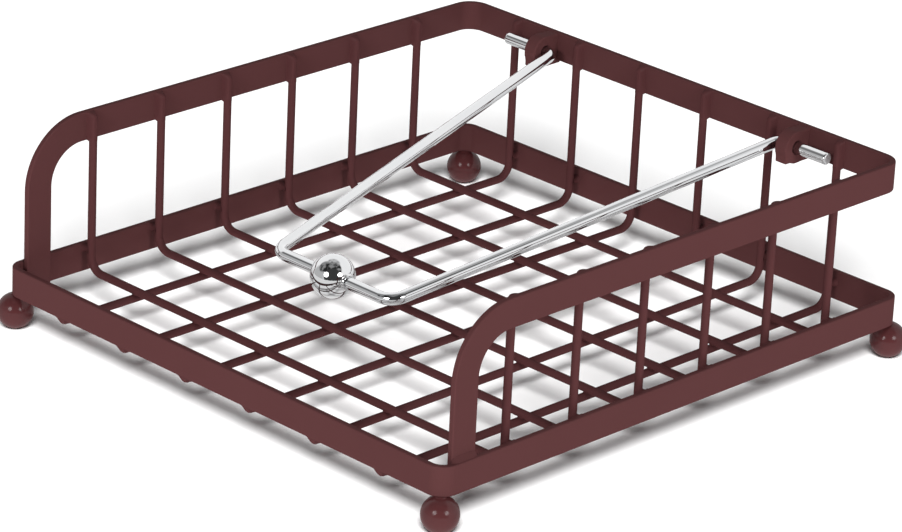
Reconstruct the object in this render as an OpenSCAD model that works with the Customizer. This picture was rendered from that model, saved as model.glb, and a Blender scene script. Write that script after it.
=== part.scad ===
// Wire napkin holder: a flat-strap frame on ball feet, a basket of bent wires
// and a hinged wire arm with a ball weight that keeps the napkins down.
// X runs along the open front, Y into the depth, Z up. The origin is on the
// table, under the middle of the frame.

/* [Frame] */
// Width of the base band, outside to outside
frame_w = 192; // [170:1:230]
// Depth of the base band, outside to outside
frame_d = 201; // [180:1:240]
// Height of the rail's top edge above the table
frame_h = 65.5; // [55:0.5:90]
// Outside radius of the base band's corners
band_corner_r = 5.6; // [3.5:0.1:14]
// Outside radius of the rail's back corners
rail_corner_r = 7; // [4:0.5:14]
// Gap from the front corners' curves back to the posts
post_gap = 0.1; // [0:0.1:8]
// Outside radius of the curve from each post into the rail
post_curve_r = 21.5; // [15:0.5:30]

/* [Strap] */
// Thickness of the flat strap
strap_t = 2; // [1.2:0.1:2.6]
// Width of the flat strap, upright in the base band
strap_h = 9.5; // [7:0.5:12]

/* [Basket wires] */
// Diameter of the basket wires
wire_d = 2.6; // [1.8:0.1:3.4]
// Distance of the end hoops from the front and back of the base band
hoop_margin = 30.5; // [26:0.5:40]
// Distance of the end back wires from the sides of the base band
back_wire_margin = 26; // [24:0.5:32]
// Centreline radius of the basket wires' bends
wire_bend_r = 5; // [3.5:0.5:6]
// Drop of the wires' top ends below the rail's top edge
wire_top_drop = 0.8; // [0.2:0.1:3]
// Setback of the back wires' front ends under the front band
wire_end_setback = 1; // [0.4:0.1:1.1]
// Diameter of the weld tacks between the wires and the base band
tack_d = 2; // [1:0.1:2.2]

/* [Feet] */
// Diameter of the ball feet
foot_d = 11.5; // [9:0.5:16]
// Depth of the flats under and on top of each ball foot
foot_flat = 0.15; // [0.1:0.05:0.4]

/* [Pivot lugs] */
// Outside diameter of the pivot lugs
lug_d = 10.8; // [9:0.2:11.4]
// Thickness of the pivot lugs along the pivot
lug_t = 4.8; // [3:0.2:7]
// Offset of each lug's middle, toward the centre line, from midway between two back wires
lug_offset = 1.4; // [0:0.1:3]
// Drop of the lugs below the rail's top edge
lug_drop = 0.1; // [0:0.1:1]
// Setback of each lug's square back from its round, at the top and at the bottom
lug_back_step = 0.2; // [0.1:0.1:1.6]
// Chamfer round both rims of each lug
lug_chamfer = 0.4; // [0.1:0.1:0.8]

/* [Arm] */
// Diameter of the arm's wire
arm_wire_d = 3.9; // [3:0.1:4.4]
// Radial clearance of the arm's wire in the lugs
arm_clearance = 0.08; // [0.03:0.01:0.1]
// Length of the arm from the pivot to the middle of the front crossbar
arm_length = 146; // [120:1:160]
// Angle of the arm below the horizontal as the photograph shows it
arm_tilt = 9.5; // [5:0.5:12]
// Half spacing of the legs on the middle of the front crossbar
arm_front_x = 25.2; // [18:0.2:34]
// Gap along the pivot between each lug and the start of its bend
arm_side_gap = 0.3; // [0.2:0.1:1]
// Centreline radius of the bends beside the lugs
arm_back_bend_r = 3; // [2.6:0.1:6]
// Centreline radius of the two front bends
arm_front_bend_r = 5.5; // [4:0.5:9]
// Length of the stub that stands out past each lug
arm_stub = 12.6; // [6:0.2:18]
// Diameter of the ball weight
ball_d = 14; // [10:0.5:20]

/* [Hidden] */
fine = 96;
copies = 6;
paint = [0.36, 0.22, 0.225];
bright = [0.85, 0.86, 0.87];

// heights
band_z = foot_d - 2 * foot_flat;
rail_z = frame_h - strap_h;
wire_top_z = frame_h - wire_top_drop;
back_wire_z = band_z - wire_d / 2;
hoop_z = band_z + wire_d / 2;

// straps in plan: the rail stands inside the base band
band_in_x = frame_w / 2 - strap_t;
band_in_y = frame_d / 2 - strap_t;
rail_in_x = band_in_x - strap_t;
rail_in_y = band_in_y - strap_t;
rail_corner_y = band_in_y - rail_corner_r;
post_y = band_corner_r + post_gap - frame_d / 2;

// wires lie against the rail's inner faces
hoop_x = rail_in_x - wire_d / 2;
back_wire_y = rail_in_y - wire_d / 2;
wire_end_y = wire_end_setback - frame_d / 2;

// a bend is a hair fatter than its runs, which reach a little into it
bend_swell = wire_d / 260;
bend_lap = wire_d / 26;

// tacks clear the wires' bends: on a hoop, halfway from its bend to the band's top edge
hoop_tack_z = (hoop_z + wire_bend_r + band_z + strap_h) / 2;
back_tack_z = back_wire_z + wire_bend_r + tack_d;

// feet sit under the middle of the strap at each corner
foot_inset = band_corner_r - (band_corner_r - strap_t / 2) / sqrt(2);

// spacing of the wires along the depth and along the width
hoop_pitch = (frame_d - 2 * hoop_margin) / (copies - 1);
back_wire_pitch = (frame_w - 2 * back_wire_margin) / (copies - 1);

// each lug sits nearly midway between the outer two back wires of its side
lug_x = (copies / 2 - 1) * back_wire_pitch - lug_offset;

// pivot line
pivot_y = rail_in_y - lug_d / 2;
pivot_z = frame_h - lug_drop - lug_d / 2;

// square back of each lug, and its toe that runs on under the rail
lug_back_t = lug_t - 2 * lug_chamfer;
lug_back_h = lug_d - 2 * lug_back_step;
lug_toe_h = rail_z - pivot_z + lug_back_h / 2;

// arm in its own plane: x along the pivot, v from the pivot to the crossbar
bend_start_x = lug_x - lug_t / 2 - arm_side_gap;
arm_back_x = arm_corner_x(arm_front_x, 8);
arm_end_x = lug_x + lug_t / 2 + arm_stub;

// angle of a leg away from square when its back corner is at x
function leg_angle(x) = atan((x - arm_front_x) / arm_length);

// back corner of a leg, where its bend ends beside the lug
function arm_corner_x(x, turns) =
    turns == 0 ? x
    : arm_corner_x(bend_start_x - arm_back_bend_r * tan((90 - leg_angle(x)) / 2), turns - 1);

// place of copy i of a row of wires about the middle
function row_place(i, pitch) = (i - (copies + 1) / 2) * pitch;

// direction of the run from a to b, and the turn from one run to the next
function heading(a, b) = atan2(b[1] - a[1], b[0] - a[0]);
function wrapped(angle) = angle > 180 ? angle - 360 : angle < -180 ? angle + 360 : angle;
function turn_at(points, i) =
    wrapped(heading(points[i], points[i + 1]) - heading(points[i - 1], points[i]));

// length of a run that the bend at point i takes up
function bend_reach(points, radii, i) =
    i == 0 || i == len(points) - 1 ? 0 : radii[i] * tan(abs(turn_at(points, i)) / 2);

// Straight run of wire between two bends
module wire_run(points, radii, d, i) {
    angle = heading(points[i], points[i + 1]);
    before = bend_reach(points, radii, i) - (i > 0 ? bend_lap : 0);
    after = bend_reach(points, radii, i + 1) - (i < len(points) - 2 ? bend_lap : 0);
    run = norm(points[i + 1] - points[i]) - before - after;
    translate([points[i][0], points[i][1], 0])
        rotate([0, 0, angle])
            translate([before, 0, 0])
                rotate([0, 90, 0])
                    cylinder(h = run, d = d, $fn = fine);
}

// Bend of the wire at point i
module wire_bend(points, radii, d, i) {
    angle = heading(points[i - 1], points[i]);
    turn = turn_at(points, i);
    side = turn > 0 ? 1 : -1;
    start = turn > 0 ? -90 : 90 + turn;
    translate([points[i][0], points[i][1], 0])
        rotate([0, 0, angle])
            translate([-bend_reach(points, radii, i), side * radii[i], 0])
                rotate([0, 0, start])
                    rotate_extrude(angle = abs(turn), $fn = fine)
                        translate([radii[i], 0])
                            circle(d = d + 2 * bend_swell, $fn = fine);
}

// Round wire bent in the XY plane along points, with a bend radius at each
module bent_wire(points, radii, d) {
    for (i = [0:len(points) - 2]) wire_run(points, radii, d, i);
    for (i = [1:len(points) - 2]) wire_bend(points, radii, d, i);
}

// Flat outline with round corners, centred
module rounded_outline(w, d, r) {
    square([w - 2 * r, d], center = true);
    square([w, d - 2 * r], center = true);
    for (x = [-1, 1], y = [-1, 1])
        translate([x * (w / 2 - r), y * (d / 2 - r)])
            circle(r = r, $fn = fine);
}

// Strap bent to a closed ring, seen from above
module strap_ring(w, d, r) {
    difference() {
        rounded_outline(w, d, r);
        rounded_outline(w - 2 * strap_t, d - 2 * strap_t, r - strap_t);
    }
}

// Closed ring of strap round the bottom of the basket
module base_band() {
    color(paint)
        translate([0, 0, band_z])
            linear_extrude(strap_h)
                strap_ring(frame_w, frame_d, band_corner_r);
}

// Side of the rail: post, curve bent on edge and straight top, Y across and Z up
module rail_side_outline() {
    curve_y = post_y + post_curve_r;
    curve_z = frame_h - post_curve_r;
    translate([post_y, band_z])
        square([strap_h, curve_z - band_z]);
    translate([curve_y, rail_z])
        square([rail_corner_y - curve_y, strap_h]);
    intersection() {
        translate([curve_y, curve_z])
            difference() {
                circle(r = post_curve_r, $fn = fine);
                circle(r = post_curve_r - strap_h, $fn = fine);
            }
        translate([post_y, curve_z])
            square([post_curve_r, post_curve_r]);
    }
}

// One strap that rises as a post, runs round three sides and comes down again
module top_rail() {
    color(paint) {
        for (x = [-band_in_x, rail_in_x])
            translate([x, 0, 0])
                rotate([90, 0, 90])
                    linear_extrude(strap_t)
                        rail_side_outline();
        translate([0, 0, rail_z])
            linear_extrude(strap_h)
                intersection() {
                    strap_ring(2 * band_in_x, 2 * band_in_y, rail_corner_r);
                    translate([-frame_w / 2, rail_corner_y])
                        square([frame_w, frame_d]);
                }
    }
}

// Wire that runs up one side, across the bottom and up the other side
module side_hoop(i) {
    points = [[-hoop_x, wire_top_z], [-hoop_x, hoop_z], [hoop_x, hoop_z], [hoop_x, wire_top_z]];
    radii = [0, wire_bend_r, wire_bend_r, 0];
    color(paint)
        translate([0, row_place(i, hoop_pitch), 0]) {
            rotate([90, 0, 0])
                bent_wire(points, radii, wire_d);
            for (side = [0, 180])
                rotate([0, 0, side])
                    translate([hoop_x, 0, hoop_tack_z])
                        rotate([0, 90, 0])
                            cylinder(h = band_in_x - hoop_x, d = tack_d, $fn = fine);
        }
}

// Wire that runs down the back and forward under the front band
module back_wire(i) {
    points = [[back_wire_y, wire_top_z], [back_wire_y, back_wire_z], [wire_end_y, back_wire_z]];
    radii = [0, wire_bend_r, 0];
    color(paint)
        translate([row_place(i, back_wire_pitch), 0, 0]) {
            rotate([90, 0, 90])
                bent_wire(points, radii, wire_d);
            translate([0, back_wire_y, back_tack_z])
                rotate([-90, 0, 0])
                    cylinder(h = band_in_y - back_wire_y, d = tack_d, $fn = fine);
        }
}

// Ball foot with a small flat on the table and one under the band
module ball_foot(x, y) {
    color(paint)
        translate([x * (frame_w / 2 - foot_inset), y * (frame_d / 2 - foot_inset), 0])
            rotate_extrude($fn = fine)
                intersection() {
                    translate([0, foot_d / 2 - foot_flat])
                        circle(d = foot_d, $fn = fine);
                    square([foot_d, band_z]);
                }
}

// Round eye with chamfered rims, axis along Z, centred
module eye_disc() {
    r = lug_d / 2;
    half = lug_t / 2;
    rotate_extrude($fn = fine)
        polygon([
            [0, -half], [r - lug_chamfer, -half], [r, lug_chamfer - half],
            [r, half - lug_chamfer], [r - lug_chamfer, half], [0, half]
        ]);
}

// Eye with a square back, welded to the inner face and under edge of the back rail
module pivot_lug(side) {
    bore_r = arm_wire_d / 2 + arm_clearance;
    color(paint)
        translate([side * lug_x, pivot_y, pivot_z])
            difference() {
                union() {
                    rotate([0, 90, 0]) eye_disc();
                    translate([-lug_back_t / 2, 0, -lug_back_h / 2]) {
                        cube([lug_back_t, lug_d / 2, lug_back_h]);
                        if (lug_toe_h > 0)
                            cube([lug_back_t, lug_d / 2 + strap_t, lug_toe_h]);
                    }
                }
                rotate([0, 90, 0])
                    cylinder(h = 2 * lug_t, r = bore_r, center = true, $fn = fine);
            }
}

// Places its children in the arm's plane, hung from the pivot line
module on_arm() {
    translate([0, pivot_y, pivot_z])
        rotate([arm_tilt, 0, 0])
            children();
}

// One wire: stub, leg, crossbar, leg, stub
module arm_wire() {
    half = [[arm_end_x, 0], [arm_back_x, 0], [arm_front_x, -arm_length]];
    points = concat(half, [for (i = [2:-1:0]) [-half[i][0], half[i][1]]]);
    radii = [0, arm_back_bend_r, arm_front_bend_r, arm_front_bend_r, arm_back_bend_r, 0];
    color(bright)
        on_arm()
            bent_wire(points, radii, arm_wire_d);
}

// Ball weight, drilled through and held on the crossbar
module arm_ball() {
    color(bright)
        on_arm()
            translate([0, -arm_length, 0])
                rotate([0, 90, 0])
                    rotate_extrude($fn = fine)
                        difference() {
                            circle(d = ball_d, $fn = fine);
                            translate([-ball_d, -ball_d])
                                square([ball_d + arm_wire_d / 2, 2 * ball_d]);
                        }
}

base_band();
top_rail();
for (i = [1:copies]) {
    side_hoop(i);
    back_wire(i);
}
ball_foot(-1, -1);  // foot_front_left
ball_foot(1, -1);  // foot_front_right
ball_foot(-1, 1);  // foot_back_left
ball_foot(1, 1);  // foot_back_right
pivot_lug(-1);  // pivot_lug_left
pivot_lug(1);  // pivot_lug_right
arm_wire();
arm_ball();
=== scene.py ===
import math

import bmesh
import bpy
from mathutils import Matrix, Vector


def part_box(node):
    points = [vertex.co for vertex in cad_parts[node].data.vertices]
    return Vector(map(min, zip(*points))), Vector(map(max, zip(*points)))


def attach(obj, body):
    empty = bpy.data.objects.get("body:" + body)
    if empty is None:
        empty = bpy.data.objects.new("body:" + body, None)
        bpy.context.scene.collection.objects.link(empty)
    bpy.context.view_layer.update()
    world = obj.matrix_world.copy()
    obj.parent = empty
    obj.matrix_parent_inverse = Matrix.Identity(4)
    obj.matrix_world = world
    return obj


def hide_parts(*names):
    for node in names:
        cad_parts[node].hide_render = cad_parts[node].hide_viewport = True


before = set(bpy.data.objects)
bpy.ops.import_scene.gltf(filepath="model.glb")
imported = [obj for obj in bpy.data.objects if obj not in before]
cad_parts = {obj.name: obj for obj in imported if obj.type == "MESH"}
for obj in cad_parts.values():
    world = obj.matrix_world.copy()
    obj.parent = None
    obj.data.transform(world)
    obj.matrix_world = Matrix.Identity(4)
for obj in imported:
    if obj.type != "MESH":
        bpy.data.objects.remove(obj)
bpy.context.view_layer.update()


# Base band: one flat steel strap set on edge, bent at four corners and closed by a
# butt weld. Its rolled edges are slightly round, and it is powder-coated in a deep
# burgundy brown in one go with everything that is welded to it.
mm = 0.001
band_low, band_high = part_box("base_band")
rail_low, rail_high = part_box("top_rail")
strap_t = band_high.x - rail_high.x
strap_h = band_high.z - band_low.z
strap_edge = 0.45 * mm
band_corner_r = 5.6 * mm
coat_deep = (0.105, 0.0385, 0.0395, 1)
coat_light = (0.117, 0.0440, 0.0450, 1)


class Level:
    """A number, colour or vector that varies over a surface; arithmetic on it adds Math nodes."""

    def __init__(self, nodes, socket):
        self.nodes, self.socket = nodes, socket

    def math(self, operation, a, b):
        return self.nodes.node("Math", {"operation": operation}, {0: a, 1: b})

    def __add__(self, other):
        return self.math("ADD", self, other)

    def __radd__(self, other):
        return self.math("ADD", other, self)

    def __sub__(self, other):
        return self.math("SUBTRACT", self, other)

    def __rsub__(self, other):
        return self.math("SUBTRACT", other, self)

    def __mul__(self, other):
        return self.math("MULTIPLY", self, other)

    def __rmul__(self, other):
        return self.math("MULTIPLY", other, self)


class Nodes:
    """The node tree of one material, or of the world."""

    def __init__(self, owner):
        owner.use_nodes = True
        self.owner, self.tree = owner, owner.node_tree
        self.tree.nodes.clear()

    def node(self, kind, settings=None, sockets=None, output=0):
        made = self.tree.nodes.new("ShaderNode" + kind)
        for name, value in (settings or {}).items():
            setattr(made, name, value)
        for name, value in (sockets or {}).items():
            if isinstance(value, Level):
                self.tree.links.new(value.socket, made.inputs[name])
            else:
                made.inputs[name].default_value = value
        return Level(self, made.outputs[output] if made.outputs else None)

    def noise(self, at, scale, detail=2.0):
        sockets = {"Vector": at, "Scale": scale, "Detail": detail, "Roughness": 0.5}
        return self.node("TexNoise", {"noise_dimensions": "3D"}, sockets)

    def mixed(self, share, first, second):
        sockets = {0: share, 6: first, 7: second}
        return self.node("Mix", {"data_type": "RGBA"}, sockets, 2)


def powder_coat(name, deep, light, peel_scale, lumps, relief, gloss, haze):
    """Baked powder: faint orange peel, slow clouds of colour, lumps over welds, a thin gloss."""
    cloud_scale, weld_scale, grit_scale, peel_depth = 38.0, 260.0, 3200.0, 0.05 * mm
    coat = Nodes(bpy.data.materials.new(name))
    at = coat.node("TexCoord", output=3)
    clouds = coat.noise(at, cloud_scale, 3.0)
    peel = coat.noise(at, peel_scale, 2.0)
    grit = coat.noise(at, grit_scale, 1.0)
    colour = coat.mixed(clouds * 0.8 + grit * 0.2, deep, light)
    sheen = 0.42 + 0.12 * clouds + 0.06 * grit
    height = peel * 0.7 + grit * 0.12 + coat.noise(at, weld_scale, 1.0) * lumps
    bump = coat.node("Bump", {}, {"Height": height, "Distance": peel_depth, "Strength": relief})
    body = coat.node("BsdfPrincipled", {}, {
        "Base Color": colour, "Roughness": sheen, "Normal": bump, "IOR": 1.5,
        "Specular IOR Level": 0.0, "Coat Weight": gloss, "Coat Roughness": haze,
    })
    coat.node("OutputMaterial", {}, {"Surface": body})
    return coat.owner


class Shape:
    """Surfaces that make up one piece, each a stack of rings of points and the way each faces."""

    def __init__(self):
        self.points, self.facings, self.faces = [], [], []

    def add(self, rings, closed=False):
        first, across = len(self.points), len(rings[0])
        for ring in rings:
            self.points += [point for point, _ in ring]
            self.facings += [facing for _, facing in ring]
        for i in range(len(rings) if closed else len(rings) - 1):
            a, b = first + i * across, first + (i + 1) % len(rings) * across
            for k in range(across):
                n = (k + 1) % across
                self.faces.append((a + k, b + k, b + n, a + n))
        if not closed:
            last = len(self.points) - across
            self.faces.append(tuple(range(first, first + across)))
            self.faces.append(tuple(range(last + across - 1, last - 1, -1)))

    def piece(self, name, material, body, slot, *stands_for):
        mesh = bpy.data.meshes.new(name)
        mesh.from_pydata(self.points, [], self.faces)
        mesh.shade_smooth()
        mesh.normals_split_custom_set_from_vertices(self.facings)
        return place(name, mesh, material, body, slot, *stands_for)


def place(name, mesh, material, body, slot, *stands_for):
    """Gives a finished mesh its material and body; the slot argument is not used."""
    mesh.materials.clear()
    mesh.materials.append(material)
    piece = bpy.data.objects.new(name, mesh)
    bpy.context.scene.collection.objects.link(piece)
    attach(piece, body)
    if stands_for:
        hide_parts(*stands_for)
    return piece


def strap_section(steps=5):
    """Outline of the strap across its length: x through it, y across its width."""
    outline = []
    for sx, sy, start in ((1, 1, 0), (-1, 1, 90), (-1, -1, 180), (1, -1, 270)):
        for k in range(steps + 1):
            a = math.radians(start + 90 * k / steps)
            c, s = math.cos(a), math.sin(a)
            x = sx * (strap_t / 2 - strap_edge) + strap_edge * c
            y = sy * (strap_h / 2 - strap_edge) + strap_edge * s
            outline.append((x, y, c, s))
    return outline


def swept(stations, outline, end_r=0.0, steps=5):
    """Rings of an outline carried along stations; open ends are rounded by end_r."""

    def ring(at, along, through, inset=0.0, tilt=0.0):
        across = through.cross(along)
        points = []
        for x, y, nx, ny in outline:
            out = through * nx + across * ny
            facing = out * math.cos(tilt) + along * math.sin(tilt)
            points.append((at + through * x + across * y - out * inset, facing))
        return points

    if not end_r:
        return [ring(*station) for station in stations]
    rings = []
    for k in range(steps + 1):
        a = math.pi / 2 * (1 - k / steps)
        at, along, through = stations[0]
        inset, reach = end_r * (1 - math.cos(a)), end_r * (1 - math.sin(a))
        rings.append(ring(at + along * reach, along, through, inset, -a))
    rings += [ring(*station) for station in stations[1:-1]]
    for k in range(steps + 1):
        a = math.pi / 2 * k / steps
        at, along, through = stations[-1]
        inset, reach = end_r * (1 - math.cos(a)), end_r * (1 - math.sin(a))
        rings.append(ring(at - along * reach, along, through, inset, a))
    return rings


def arc(centre, start, out, along, turn, steps=10):
    """Stations round a bend: start runs from its centre, and out is a side that turns with it."""
    axis = start.normalized().cross(along)
    made = []
    for k in range(steps + 1):
        by = Matrix.Rotation(turn * k / steps, 3, axis)
        made.append((centre + by @ start, by @ along, by @ out))
    return made


band_ring = []
band_r = band_corner_r - strap_t / 2
band_middle = (band_low.z + band_high.z) / 2
for quarter, (sx, sy) in enumerate(((1, -1), (1, 1), (-1, 1), (-1, -1))):
    turned_by = Matrix.Rotation(math.pi / 2 * quarter, 3, "Z")
    in_x, in_y = band_high.x - band_corner_r, band_high.y - band_corner_r
    corner = Vector((sx * in_x, sy * in_y, band_middle))
    start = turned_by @ Vector((0, -band_r, 0))
    out, along = start.normalized(), turned_by @ Vector((1, 0, 0))
    band_ring += arc(corner, start, out, along, math.pi / 2, steps=14)
strap_coat = powder_coat(
    "strap_coat", coat_deep, coat_light,
    peel_scale=720.0, lumps=0.10, relief=0.35, gloss=0.03, haze=0.14,
)
band = Shape()
band.add(swept(band_ring, strap_section()), closed=True)
band.piece("base_band_strap", strap_coat, "basket", "strap_coat", "base_band")


# Top rail: the same strap, set up as a post inside each front corner of the band, bent
# on edge into the top and run round three sides. The two posts are welded to the band,
# with a short bead on its upper edge.
post_curve_r = 21.5 * mm
rail_corner_r = 7 * mm
post_rounding = 0.3 * mm
bead_size, bead_overrun = 1.5 * mm, 0.15 * mm
post_y = rail_low.y + strap_h / 2
rail_x = rail_high.x - strap_t / 2
rail_mid_z = rail_high.z - strap_h / 2
curve_r = post_curve_r - strap_h / 2
corner_y = rail_high.y - rail_corner_r
rail_line = []
up, back, right = Vector((0, 0, 1)), Vector((0, 1, 0)), Vector((1, 0, 0))
rail_line.append((Vector((-rail_x, post_y, rail_low.z)), up, -right))
curve_at = Vector((-rail_x, post_y + curve_r, rail_high.z - post_curve_r))
rail_line += arc(curve_at, -back * curve_r, -right, up, math.pi / 2, steps=20)
corner_at = Vector((-rail_high.x + rail_corner_r, corner_y, rail_mid_z))
rail_bend = -right * (rail_corner_r - strap_t / 2)
rail_line += arc(corner_at, rail_bend, -right, back, math.pi / 2, steps=14)
mirrored = []
for at, along, through in reversed(rail_line):
    at = Vector((-at.x, at.y, at.z))
    along = Vector((along.x, -along.y, -along.z))
    mirrored.append((at, along, Vector((-through.x, through.y, through.z))))
rail = Shape()
rail.add(swept(rail_line + mirrored, strap_section(), post_rounding))


def room_on_band(y):
    """Width of the band's flat upper edge outside a post, which shrinks round the corner."""
    into_bend = max(0, band_low.y + band_corner_r - y)
    set_back = band_corner_r - math.sqrt(band_corner_r ** 2 - into_bend ** 2)
    return strap_t - 0.8 * strap_edge - set_back


def bead(a, b, first, second, size, ripple=1.1 * mm, swell=0.04, tip=0.04, sunk=0.3 * mm):
    """Rings of a flat weld bead between a post and the band's edge, along a line from a to b."""
    along, length = (b - a).normalized(), (b - a).length
    rings = []
    count = max(8, int(length / ripple) * 6)
    for i in range(count + 1):
        t = i / count
        wave = 1 + swell * math.cos(2 * math.pi * t * length / ripple)
        r = size * max(tip, (1 - abs(2 * t - 1) ** 6) ** 0.5) * wave
        at = a + along * length * t
        reach = min(r, room_on_band(at.y))
        facing = (first / reach + second / r).normalized()
        ring = [(at - (first + second) * sunk, -(first + second).normalized())]
        for k in range(9):
            c, s = math.cos(math.pi / 2 * k / 8), math.sin(math.pi / 2 * k / 8)
            flat = 1 - 0.5 * c * s
            ring.append((at + (first * c * reach + second * s * r) * flat, facing))
        rings.append(ring if first.cross(second).dot(along) < 0 else ring[::-1])
    return rings


for side in (-1, 1):
    foot_of_bead = Vector((side * rail_high.x, post_y, band_high.z))
    half = back * (strap_h / 2 + bead_overrun)
    rail.add(bead(foot_of_bead - half, foot_of_bead + half, right * side, up, bead_size))
rail.piece("top_rail_strap", strap_coat, "basket", "strap_coat", "top_rail")


# Side hoops: six round steel wires, each bent up at both sides of the basket. Their ends
# are pressed onto the inner face of the rail while the weld is hot, which leaves a soft
# ridge there, and a tack bridges the 2 mm to the base band on each side.
wire_bend_r = 5 * mm
hoop_low, hoop_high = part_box("side_hoop_1")
wire_r = 1.3 * mm
weld_rise = 0.6 * mm
ridge_rise, ridge_half, ridge_cap = 2.6 * mm, 1.68 * mm, 1.6 * mm
ridge_fade_start, ridge_fade, ridge_square = 0.35 * mm, 0.6 * mm, 3 * mm
press_in, press_sink, press_overrun = 0.06 * mm, 0.02 * mm, 0.5 * mm
tack_waist, tack_flare = 0.95 * mm, 1.6 * mm
# Same powder as the strap, set darker here: painted shade on the wires.
wire_coat = powder_coat(
    "wire_coat", (0.095, 0.0335, 0.0350, 1), (0.106, 0.0385, 0.0400, 1),
    peel_scale=900.0, lumps=0.16, relief=0.35, gloss=0.03, haze=0.14,
)


def circle(r, sides=28):
    """Outline of a round wire."""
    turn = [2 * math.pi * k / sides for k in range(sides)]
    return [(r * math.cos(a), r * math.sin(a), math.cos(a), math.sin(a)) for a in turn]


def bent(corners, radii, normal, step=6.0):
    """Stations of a wire bent in one plane round its corners."""
    made = [(corners[0], (corners[1] - corners[0]).normalized(), normal)]
    for i in range(1, len(corners) - 1):
        before = (corners[i] - corners[i - 1]).normalized()
        after = (corners[i + 1] - corners[i]).normalized()
        turn = before.angle(after)
        reach = radii[i] * math.tan(turn / 2)
        inward = (after - before * before.dot(after)).normalized()
        start = corners[i] - before * reach
        steps = max(4, round(math.degrees(turn) / step))
        made += arc(start + inward * radii[i], -inward * radii[i], normal, before, turn, steps)
    made.append((corners[-1], (corners[-1] - corners[-2]).normalized(), normal))
    return made


def eased(x):
    """0 below 0, 1 above 1, and a smooth step between."""
    x = min(1, max(0, x))
    return x * x * (3 - 2 * x)


def pressed(station, side, share, height=0.0, half=wire_r, fullness=1.0):
    """Ring of a wire that is pressed onto a face on its side: round at share 0, a ridge at 1."""
    at, along, through = station
    across = through.cross(along)
    ring = []
    for x, y, nx, ny in circle(wire_r):
        swell = 0.5 + 0.5 * math.cos(math.pi * abs(nx) ** fullness)
        depth = height * swell if ny * side <= 0 else 0
        flat_x, flat_y = nx * half, side * (wire_r + press_in - depth)
        ring.append(at + through * (x + (flat_x - x) * share) + across * (y + (flat_y - y) * share))
    return ring


def pressed_end(end, inward, side, reach, shape, steps=36):
    """Rings of a wire's end: shape gives how it is pressed at a distance from its very end."""
    at, along, through = end
    rings = []
    for k in range(steps + 1):
        s = reach * k / steps
        rings.append(pressed((at + along * s * inward, along, through), side, *shape(s)))
    return rings[::inward]


def faced(rings):
    """Gives each point of a grid of rings the way the surface faces there."""
    made = []
    for i, ring in enumerate(rings):
        before, after = rings[max(0, i - 1)], rings[min(len(rings) - 1, i + 1)]
        facings = []
        for k, point in enumerate(ring):
            around = ring[(k + 1) % len(ring)] - ring[k - 1]
            facings.append((point, (after[k] - before[k]).cross(around).normalized()))
        made.append(facings)
    return made


def cap(s, r):
    """Height of a rounded end at a distance s from its tip, as a share of its full height."""
    return math.sqrt(1 - (1 - min(1, s / r)) ** 2)


def rail_end(s):
    """Share, height, half width and fullness of the ridge on the rail, from its top end down."""
    share = 1 - eased((s - on_rail + ridge_fade_start) / ridge_fade)
    fullness = 1.5 + 1.5 * eased(s / ridge_square)
    return share, ridge_rise * cap(s, ridge_cap) - press_sink, ridge_half, fullness


def turned(at, along, profile, sides=28):
    """Rings of a shape turned about a line: profile gives reach, radius, facing along and out."""
    through = along.orthogonal().normalized()
    across = through.cross(along)
    rings = []
    for s, r, ns, nr in profile:
        ring = []
        for k in range(sides):
            a = 2 * math.pi * k / sides
            out = through * math.cos(a) + across * math.sin(a)
            ring.append((at + along * s + out * r, along * ns + out * nr))
        rings.append(ring)
    return rings


def waisted(length, waist, flare, steps=8):
    """Profile of a tack weld: narrow in the middle, flared where it wets both parts."""
    profile = []
    for k in range(steps + 1):
        u = 2 * k / steps - 1
        slope = (flare - waist) * 3 * u * abs(u) / (length / 2)
        size = math.hypot(1, slope)
        r = waist + (flare - waist) * abs(u) ** 3
        profile.append((length * k / steps, r, -slope / size, 1 / size))
    return profile


hoop_x = rail_high.x - strap_t - wire_r
rail_z = rail_high.z - strap_h
on_rail = hoop_high.z + weld_rise - rail_z
hoop_tack = waisted(band_high.x - strap_t - hoop_x, tack_waist, tack_flare)
hoop_rows = []
for i in range(1, 7):
    low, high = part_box(f"side_hoop_{i}")
    y, bottom, top = (low.y + high.y) / 2, low.z + wire_r, high.z + weld_rise
    hoop_rows.append(y)
    turns = (-hoop_x, top), (-hoop_x, bottom), (hoop_x, bottom), (hoop_x, top)
    line = bent([Vector((x, y, z)) for x, z in turns], (0, wire_bend_r, wire_bend_r, 0), back)
    first_end = pressed_end(line[0], 1, 1, on_rail + press_overrun, rail_end)
    last_end = pressed_end(line[-1], -1, 1, on_rail + press_overrun, rail_end)
    hoop = Shape()
    hoop.add(faced(first_end + [pressed(station, 1, 0) for station in line[1:-1]] + last_end))
    tack_z = (bottom + wire_bend_r + band_high.z) / 2
    for side in (-1, 1):
        hoop.add(turned(Vector((side * hoop_x, y, tack_z)), right * side, hoop_tack))
    hoop.piece(f"hoop_wire_{i}", wire_coat, "basket", "wire_coat", f"side_hoop_{i}")


# Back wires: six more of the same wire, pressed onto the back rail, bent forward under
# the hoops and pressed at their ends under the front band. Each crossing is pressed and
# spot-welded, which leaves a small collar between the two wires.
dome_length, dome_cap, dome_reach = 2.4 * mm, 2.2 * mm, 5 * mm
dome_rise, dome_half, dome_fullness = 2.45 * mm, 2.4 * mm, 1.2
collar_h, collar_waist, collar_flare = 1.3 * mm, 0.85 * mm, 1.2 * mm
front_set_back, tack_above_bend = 0.2 * mm, 2 * mm


def band_end(s):
    """Share, height, half width and fullness of the dome under the front band, from its front."""
    share = 1 - eased((s - dome_length) / dome_cap)
    return share, dome_rise * cap(s, dome_cap) - press_sink, dome_half, dome_fullness


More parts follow.
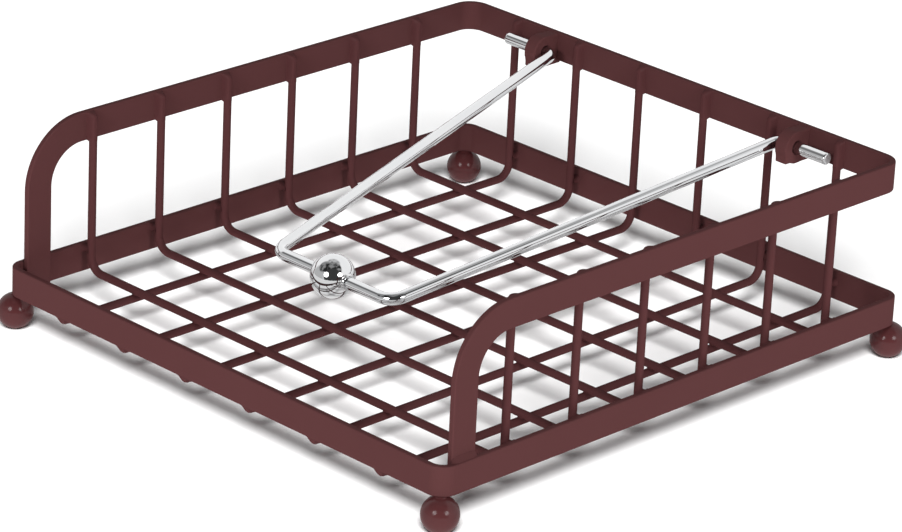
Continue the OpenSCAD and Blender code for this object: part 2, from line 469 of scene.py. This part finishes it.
hoop_bottom = hoop_low.z + wire_r
wire_y = rail_high.y - strap_t - wire_r
back_tack = waisted(band_high.y - strap_t - wire_y, tack_waist, tack_flare)
collar = waisted(collar_h, collar_waist, collar_flare)
for i in range(1, 7):
    low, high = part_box(f"back_wire_{i}")
    x, bottom, top = (low.x + high.x) / 2, low.z + wire_r, high.z + weld_rise
    turns = (wire_y, top), (wire_y, bottom), (band_low.y + front_set_back, bottom)
    line = bent([Vector((x, y, z)) for y, z in turns], (0, wire_bend_r, 0), right)
    rail_rings = pressed_end(line[0], 1, 1, on_rail + press_overrun, rail_end)
    band_rings = pressed_end(line[-1], -1, -1, dome_reach, band_end)
    wire = Shape()
    wire.add(faced(rail_rings + [pressed(station, 1, 0) for station in line[1:-1]] + band_rings))
    tack_z = bottom + wire_bend_r + tack_above_bend
    wire.add(turned(Vector((x, wire_y, tack_z)), back, back_tack))
    for y in hoop_rows:
        collar_at = Vector((x, y, (bottom + hoop_bottom) / 2 - collar_h / 2))
        wire.add(turned(collar_at, up, collar, sides=20))
    wire.piece(f"floor_wire_{i}", wire_coat, "basket", "wire_coat", f"back_wire_{i}")


# Ball feet: four solid steel balls welded under the corners of the band, with a short
# neck where the weld wets the ball. Their coat is glossier, and its colour is set darker than
# the strap's, which is painted shade. Each ball stands on a small worn flat, under 3 mm across.
foot_coat = powder_coat(
    "foot_coat", (0.089, 0.0250, 0.0265, 1), (0.099, 0.0290, 0.0305, 1),
    peel_scale=300.0, lumps=0.06, relief=0.08, gloss=0.33, haze=0.16,
)
foot_low, foot_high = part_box("foot_front_left")
foot_r = (foot_high.x - foot_low.x) / 2
foot_mid = (foot_low.z + foot_high.z) / 2
neck_r, neck_fillet = 1.5 * mm, 0.6 * mm


def foot_profile():
    """Worn flat, ball, and the fillet up to the neck, from the table upward."""
    centre_r = neck_r + neck_fillet
    centre_z = foot_mid + math.sqrt((foot_r + neck_fillet) ** 2 - centre_r ** 2)
    touch = math.atan2(centre_z - foot_mid, centre_r)
    flat_r = math.sqrt(foot_r ** 2 - foot_mid ** 2)
    start = -math.acos(min(1, flat_r / foot_r))
    profile = [(0, 0.9 * flat_r, -1, 0)]
    for k in range(41):
        a = start + (touch - start) * k / 40
        c, s = math.cos(a), math.sin(a)
        profile.append((foot_mid + foot_r * s, foot_r * c, s, c))
    for k in range(1, 9):
        a = touch + math.pi - touch * k / 8
        z, r = centre_z + neck_fillet * math.sin(a), centre_r + neck_fillet * math.cos(a)
        if z > foot_high.z + 0.1 * mm:
            break
        profile.append((z, r, -math.sin(a), -math.cos(a)))
    return profile


for name in ("foot_front_left", "foot_front_right", "foot_back_left", "foot_back_right"):
    low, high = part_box(name)
    foot = Shape()
    at = Vector(((low.x + high.x) / 2, (low.y + high.y) / 2, 0))
    foot.add(turned(at, up, foot_profile(), sides=64))
    foot.piece(f"ball_{name}", foot_coat, "basket", "foot_coat", name)


# Pivot lugs: two thick steel eyes with square backs, welded to the inner face of the back
# rail between each outer pair of back wires. A toe runs on under the rail's lower edge,
# and the weld and the coat round every corner.
# Same powder as the strap, set lighter here: painted light on the lugs.
lug_coat = powder_coat(
    "lug_coat", (0.117, 0.0430, 0.0440, 1), (0.130, 0.0490, 0.0500, 1),
    peel_scale=560.0, lumps=0.30, relief=0.35, gloss=0.03, haze=0.14,
)
lug_bore_r, bore_chamfer = 2.03 * mm, 0.5 * mm
lug_skin, lug_back_step = 0.1 * mm, 0.2 * mm
into_rail, toe_overlap = 0.8 * mm, 0.5 * mm
chin_in, chin_up = 0.6 * mm, 0.75 * mm
voxel = 0.26 * mm


def block(target, low, high):
    """Adds a box between two corners to a mesh in the making."""
    size = Matrix.Diagonal((*(high - low), 1))
    bmesh.ops.create_cube(target, size=1.0, matrix=Matrix.Translation((low + high) / 2) @ size)


for name in ("pivot_lug_left", "pivot_lug_right"):
    low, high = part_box(name)
    eye_r, eye_t = (high.z - low.z) / 2, high.x - low.x
    rail_in_y = rail_high.y - strap_t
    pivot = Vector(((low.x + high.x) / 2, rail_in_y - eye_r, (low.z + high.z) / 2))
    eye = bmesh.new()
    lay = Matrix.Translation(pivot) @ Matrix.Rotation(math.pi / 2, 4, "Y")
    r = eye_r - lug_skin
    bmesh.ops.create_cone(
        eye, cap_ends=True, segments=72, radius1=r, radius2=r, depth=eye_t, matrix=lay
    )
    back_low = Vector((low.x + lug_skin, pivot.y, low.z + lug_back_step))
    back_high = Vector((high.x - lug_skin, rail_in_y + into_rail, high.z - lug_back_step))
    block(eye, back_low, back_high)
    block(eye, back_low, Vector((back_high.x, rail_high.y - lug_skin, rail_z + toe_overlap)))
    chin = Vector((back_low.x, pivot.y - eye_r + chin_in, low.z + chin_up))
    block(eye, chin, Vector((back_high.x, pivot.y, pivot.z)))
    rough = bpy.data.meshes.new("lug_in_the_making")
    eye.to_mesh(rough)
    eye.free()
    lump = bpy.data.objects.new("lug_in_the_making", rough)
    bore = Shape()
    mouth = eye_t / 2 + lug_skin
    half_bore = [
        (mouth - bore_chamfer, lug_bore_r, 0, 1),
        (mouth, lug_bore_r + bore_chamfer, 0, 1),
        (eye_t / 2 + 1 * mm, lug_bore_r + 3 * bore_chamfer, 1, 0),
    ]
    whole_bore = [(-s, r, -ns, nr) for s, r, ns, nr in reversed(half_bore)] + half_bore
    bore.add(turned(pivot, right, whole_bore, sides=56))
    drill_mesh = bpy.data.meshes.new("lug_drill")
    drill_mesh.from_pydata(bore.points, [], bore.faces)
    drill = bpy.data.objects.new("lug_drill", drill_mesh)
    for temporary in (lump, drill):
        bpy.context.scene.collection.objects.link(temporary)
    remesh = lump.modifiers.new("fuse", "REMESH")
    remesh.mode, remesh.voxel_size = "VOXEL", voxel
    smooth = lump.modifiers.new("flow", "SMOOTH")
    smooth.factor, smooth.iterations = 0.5, 8
    cut = lump.modifiers.new("drilled", "BOOLEAN")
    cut.operation, cut.solver, cut.object = "DIFFERENCE", "EXACT", drill
    fused = lump.evaluated_get(bpy.context.evaluated_depsgraph_get())
    done = bpy.data.meshes.new_from_object(fused)
    done.name = f"eye_{name}"
    done.shade_smooth()
    done.set_sharp_from_angle(angle=math.radians(42))
    bpy.data.objects.remove(lump)
    bpy.data.objects.remove(drill)
    place(f"eye_{name}", done, lug_coat, "basket", "lug_coat", name)


# Arm: one bright chrome-plated wire. It turns in the two lugs, runs forward as two legs
# that draw together and crosses over at the front; a stub stands out past each lug.
arm_wire_r = 1.95 * mm
arm_length = 146 * mm
arm_tilt = math.radians(9.5)
arm_front_x = 25.2 * mm
arm_back_bend_r, arm_front_bend_r = 3 * mm, 5.5 * mm
arm_play, stub_rounding, sawn_depth = 0.3 * mm, 0.75 * mm, 0.3 * mm
lug_low, lug_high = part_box("pivot_lug_right")
stub_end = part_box("arm_wire")[1].x
pivot = Vector((0, pivot.y, (lug_high.z + lug_low.z) / 2))
forward = Vector((0, -math.cos(arm_tilt), -math.sin(arm_tilt)))
arm_normal = right.cross(forward)
leg_x = bend_start = lug_low.x - arm_play
for _ in range(8):
    leg = math.atan((leg_x - arm_front_x) / arm_length)
    leg_x = bend_start - arm_back_bend_r * math.tan((math.pi / 2 - leg) / 2)


def chrome(name, buff, pits, cut_at=1.0):
    """Bright plate over polished steel: faint ripples, fine pits, dull where cut past cut_at."""
    ripple_scale, pit_scale, sawn_roughness = 130.0, 2600.0, 0.42
    plate = Nodes(bpy.data.materials.new(name))
    at = plate.node("TexCoord", output=3)
    haze = plate.noise(at, buff, 3.0)
    ripple = plate.noise(at, ripple_scale, 1.0)
    sideways = plate.node("SeparateXYZ", {}, {0: at})
    reach = plate.node("Math", {"operation": "ABSOLUTE"}, {0: sideways})
    dull = sawn_roughness * reach.math("GREATER_THAN", reach, cut_at)
    fine = plate.noise(at, pit_scale, 2.0)
    tint = plate.mixed(haze, (0.50, 0.51, 0.525, 1), (0.56, 0.56, 0.56, 1))
    bump = plate.node("Bump", {}, {
        "Height": ripple * 0.8 + fine * pits, "Distance": 0.02 * mm, "Strength": 0.12,
    })
    body = plate.node("BsdfPrincipled", {}, {
        "Base Color": tint, "Metallic": 1.0, "Roughness": 0.03 + 0.05 * haze + dull, "Normal": bump,
    })
    plate.node("OutputMaterial", {}, {"Surface": body})
    return plate.owner


half_arm = [(stub_end, 0), (leg_x, 0), (arm_front_x, arm_length)]
outline_of_arm = half_arm + [(-x, v) for x, v in reversed(half_arm)]
corners = [pivot + right * x + forward * v for x, v in outline_of_arm]
radii = (0, arm_back_bend_r, arm_front_bend_r, arm_front_bend_r, arm_back_bend_r, 0)
arm_line = bent(corners, radii, arm_normal, step=3.0)
arm_chrome = chrome("arm_chrome", buff=55.0, pits=0.06, cut_at=stub_end - sawn_depth)
arm = Shape()
arm.add(swept(arm_line, circle(arm_wire_r, sides=56), stub_rounding, steps=8))
arm.piece("chrome_arm", arm_chrome, "arm", "arm_chrome", "arm_wire")


# Ball weight: a solid ball drilled through, slid on the crossbar before the last bend
# and fixed with a small shoulder of solder on each side, then plated with the arm.
ball_low, ball_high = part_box("arm_ball")
ball_at = (ball_low + ball_high) / 2
ball_r = (ball_high.z - ball_low.z) / 2
shoulder, shoulder_fillet, shoulder_rim = 2.55 * mm, 0.5 * mm, 0.3 * mm


def ball_profile():
    """Half of the ball from its equator to the shoulder and the wire's surface."""
    centre_r = shoulder + shoulder_fillet
    centre_s = math.sqrt((ball_r + shoulder_fillet) ** 2 - centre_r ** 2)
    touch = math.atan2(centre_s, centre_r)
    half = []
    for k in range(37):
        c, s = math.cos(touch * k / 36), math.sin(touch * k / 36)
        half.append((ball_r * s, ball_r * c, s, c))
    for k in range(1, 9):
        a = touch + math.pi - touch * k / 8
        c, s = math.cos(a), math.sin(a)
        half.append((centre_s + shoulder_fillet * s, centre_r + shoulder_fillet * c, -s, -c))
    lip = half[-1][0]
    for k in range(7):
        c, s = math.cos(math.pi / 2 * k / 6), math.sin(math.pi / 2 * k / 6)
        half.append((lip + shoulder_rim * s, shoulder - shoulder_rim + shoulder_rim * c, s, c))
    half.append((lip + shoulder_rim, arm_wire_r, 1, 0))
    return half


half_ball = ball_profile()
ball = Shape()
whole = [(-s, r, -ns, nr) for s, r, ns, nr in reversed(half_ball[1:])] + half_ball
ball.add(turned(ball_at, right, whole, sides=96))
ball_chrome = chrome("ball_chrome", buff=90.0, pits=0.04)
ball.piece("chrome_ball", ball_chrome, "arm", "ball_chrome", "arm_ball")


# Studio: a plain pale matt table with its own soft light from the camera's side, two round
# lamps on the camera's left and right, a weak one behind the object, and pale walls under a
# dimmer ceiling, with dark cards above and behind the camera that only mirrors show.
table = Nodes(bpy.data.materials.new("pale_table"))
mottle = table.noise(table.node("TexCoord", output=3), 6.0, 2.0)
paper = table.mixed(mottle, (0.93, 0.93, 0.93, 1), (0.95, 0.95, 0.95, 1))
matt = table.node("BsdfPrincipled", {}, {
    "Base Color": paper, "Roughness": 0.9, "Specular IOR Level": 0.0,
})
table.node("OutputMaterial", {}, {"Surface": matt})
table_mesh = bpy.data.meshes.new("pale_table")
table_r = 2.4
disc = bmesh.new()
bmesh.ops.create_circle(disc, cap_ends=True, segments=96, radius=table_r)
disc.to_mesh(table_mesh)
disc.free()
table_mesh.materials.append(table.owner)
table_top = bpy.data.objects.new("pale_table", table_mesh)
bpy.context.scene.collection.objects.link(table_top)

camera_yaw, camera_pitch, camera_roll = (math.radians(a) for a in (44.16487, 22.63154, 2.77231))
camera_at = Vector((0.90390, -0.93283, 0.56673))
focal_length_px, frame_width_px, sensor_width = 4555.05, 902, 36.0
ahead = Vector((-math.sin(camera_yaw), math.cos(camera_yaw), 0))
look = ahead * math.cos(camera_pitch) - up * math.sin(camera_pitch)
level = Vector((math.cos(camera_yaw), math.sin(camera_yaw), 0))
above = level.cross(look)
side_axis = level * math.cos(camera_roll) + above * math.sin(camera_roll)
up_axis = above * math.cos(camera_roll) - level * math.sin(camera_roll)
camera_data = bpy.data.cameras.new("camera")
camera_data.sensor_fit, camera_data.sensor_width = "HORIZONTAL", sensor_width
camera_data.lens = focal_length_px * sensor_width / frame_width_px
camera_data.clip_start, camera_data.clip_end = 0.05, 50
camera = bpy.data.objects.new("camera", camera_data)
turn = Matrix((side_axis, up_axis, -look)).transposed()
camera.matrix_world = Matrix.Translation(camera_at) @ turn.to_4x4()
bpy.context.scene.collection.objects.link(camera)
bpy.context.scene.camera = camera

basket_middle = Vector((0, 0, 0.03))
side_size, side_distance, side_height = 0.84, 2.2, 24


def toward_sky(azimuth, elevation):
    """Direction from the object; azimuth 0 is the open front, and 90 is the right side."""
    a, e = math.radians(azimuth), math.radians(elevation)
    return Vector((math.sin(a) * math.cos(e), -math.cos(a) * math.cos(e), math.sin(e)))


def lamp(name, azimuth, elevation, distance, size, power, mirrored=True):
    """A round panel that faces the middle of the basket."""
    data = bpy.data.lights.new(name, "AREA")
    data.shape, data.size, data.energy = "DISK", size, power
    away = toward_sky(azimuth, elevation)
    holder = bpy.data.objects.new(name, data)
    holder.location = basket_middle + away * distance
    holder.rotation_mode = "QUATERNION"
    holder.rotation_quaternion = away.to_track_quat("Z", "Y")
    holder.visible_glossy = mirrored
    bpy.context.scene.collection.objects.link(holder)
    return holder


off_table = bpy.data.collections.new("all_but_table")
off_table.objects.link(table_top)
off_table.collection_objects[0].light_linking.link_state = "EXCLUDE"
for panel in (
    lamp("left_lamp", 10, side_height, side_distance, side_size, 21.6),
    lamp("right_lamp", 84, side_height, side_distance, side_size, 20.0),
    lamp("back_fill", 224, 24, 1.6, 0.8, 5.0, mirrored=False),
):
    panel.light_linking.receiver_collection = off_table

table_only = bpy.data.collections.new("table_only")
table_only.objects.link(table_top)
far_light = bpy.data.lights.new("table_light", "SUN")
far_light.energy, far_light.angle = 5.3, math.radians(23)
table_light = bpy.data.objects.new("table_light", far_light)
table_light.rotation_mode = "QUATERNION"
table_light.rotation_quaternion = toward_sky(44, 43).to_track_quat("Z", "Y")
table_light.visible_glossy = False
table_light.light_linking.receiver_collection = table_only
bpy.context.scene.collection.objects.link(table_light)

world = bpy.data.worlds.new("surround")
bpy.context.scene.world = world
sky = Nodes(world)
toward = sky.node("TexCoord", output=0)


def grey(level):
    """A neutral colour."""
    return level, level, level, 1


def smooth_step(value, low, high):
    """0 below low, 1 above high, and a smooth step between."""
    sockets = {"Value": value, "From Min": low, "From Max": high}
    return sky.node("MapRange", {"interpolation_type": "SMOOTHSTEP"}, sockets)


def card(azimuth, elevation, edge, core):
    """1 toward a card that only mirrors see, and 0 off it; edge and core are cosines."""
    toward_card = {0: toward, 1: toward_sky(azimuth, elevation)}
    facing = sky.node("VectorMath", {"operation": "DOT_PRODUCT"}, toward_card, 1)
    return smooth_step(facing, edge, core)


patches = smooth_step(sky.noise(toward, 3.4, 2.0), 0.40, 0.62)
dark = sky.mixed(patches, grey(0.03), grey(0.42))
ceiling = sky.mixed(patches, grey(0.22), grey(0.85))
room = sky.mixed(card(325, 10, 0.766, 0.906), grey(1.5), grey(0.78))
room = sky.mixed(card(0, 90, 0.848, 0.940), room, ceiling)
for azimuth, elevation, edge, core in ((327, 52, 0.860, 0.930), (47, 55, 0.710, 0.790)):
    room = sky.mixed(card(azimuth, elevation, edge, core), room, dark)
room = sky.mixed(card(47, 14, 0.660, 0.730), room, grey(0.07))
plain = sky.mixed(sky.node("LightPath", output=0), grey(0.13), grey(1))
mirrors = sky.node("LightPath", output=3) + sky.node("LightPath", output=6)
glow = {"Color": sky.mixed(mirrors, plain, room), "Strength": 1.0}
sky.node("OutputWorld", {}, {"Surface": sky.node("Background", {}, glow)})

bpy.context.scene.view_settings.view_transform = "Standard"
camera_data.dof.use_dof = False
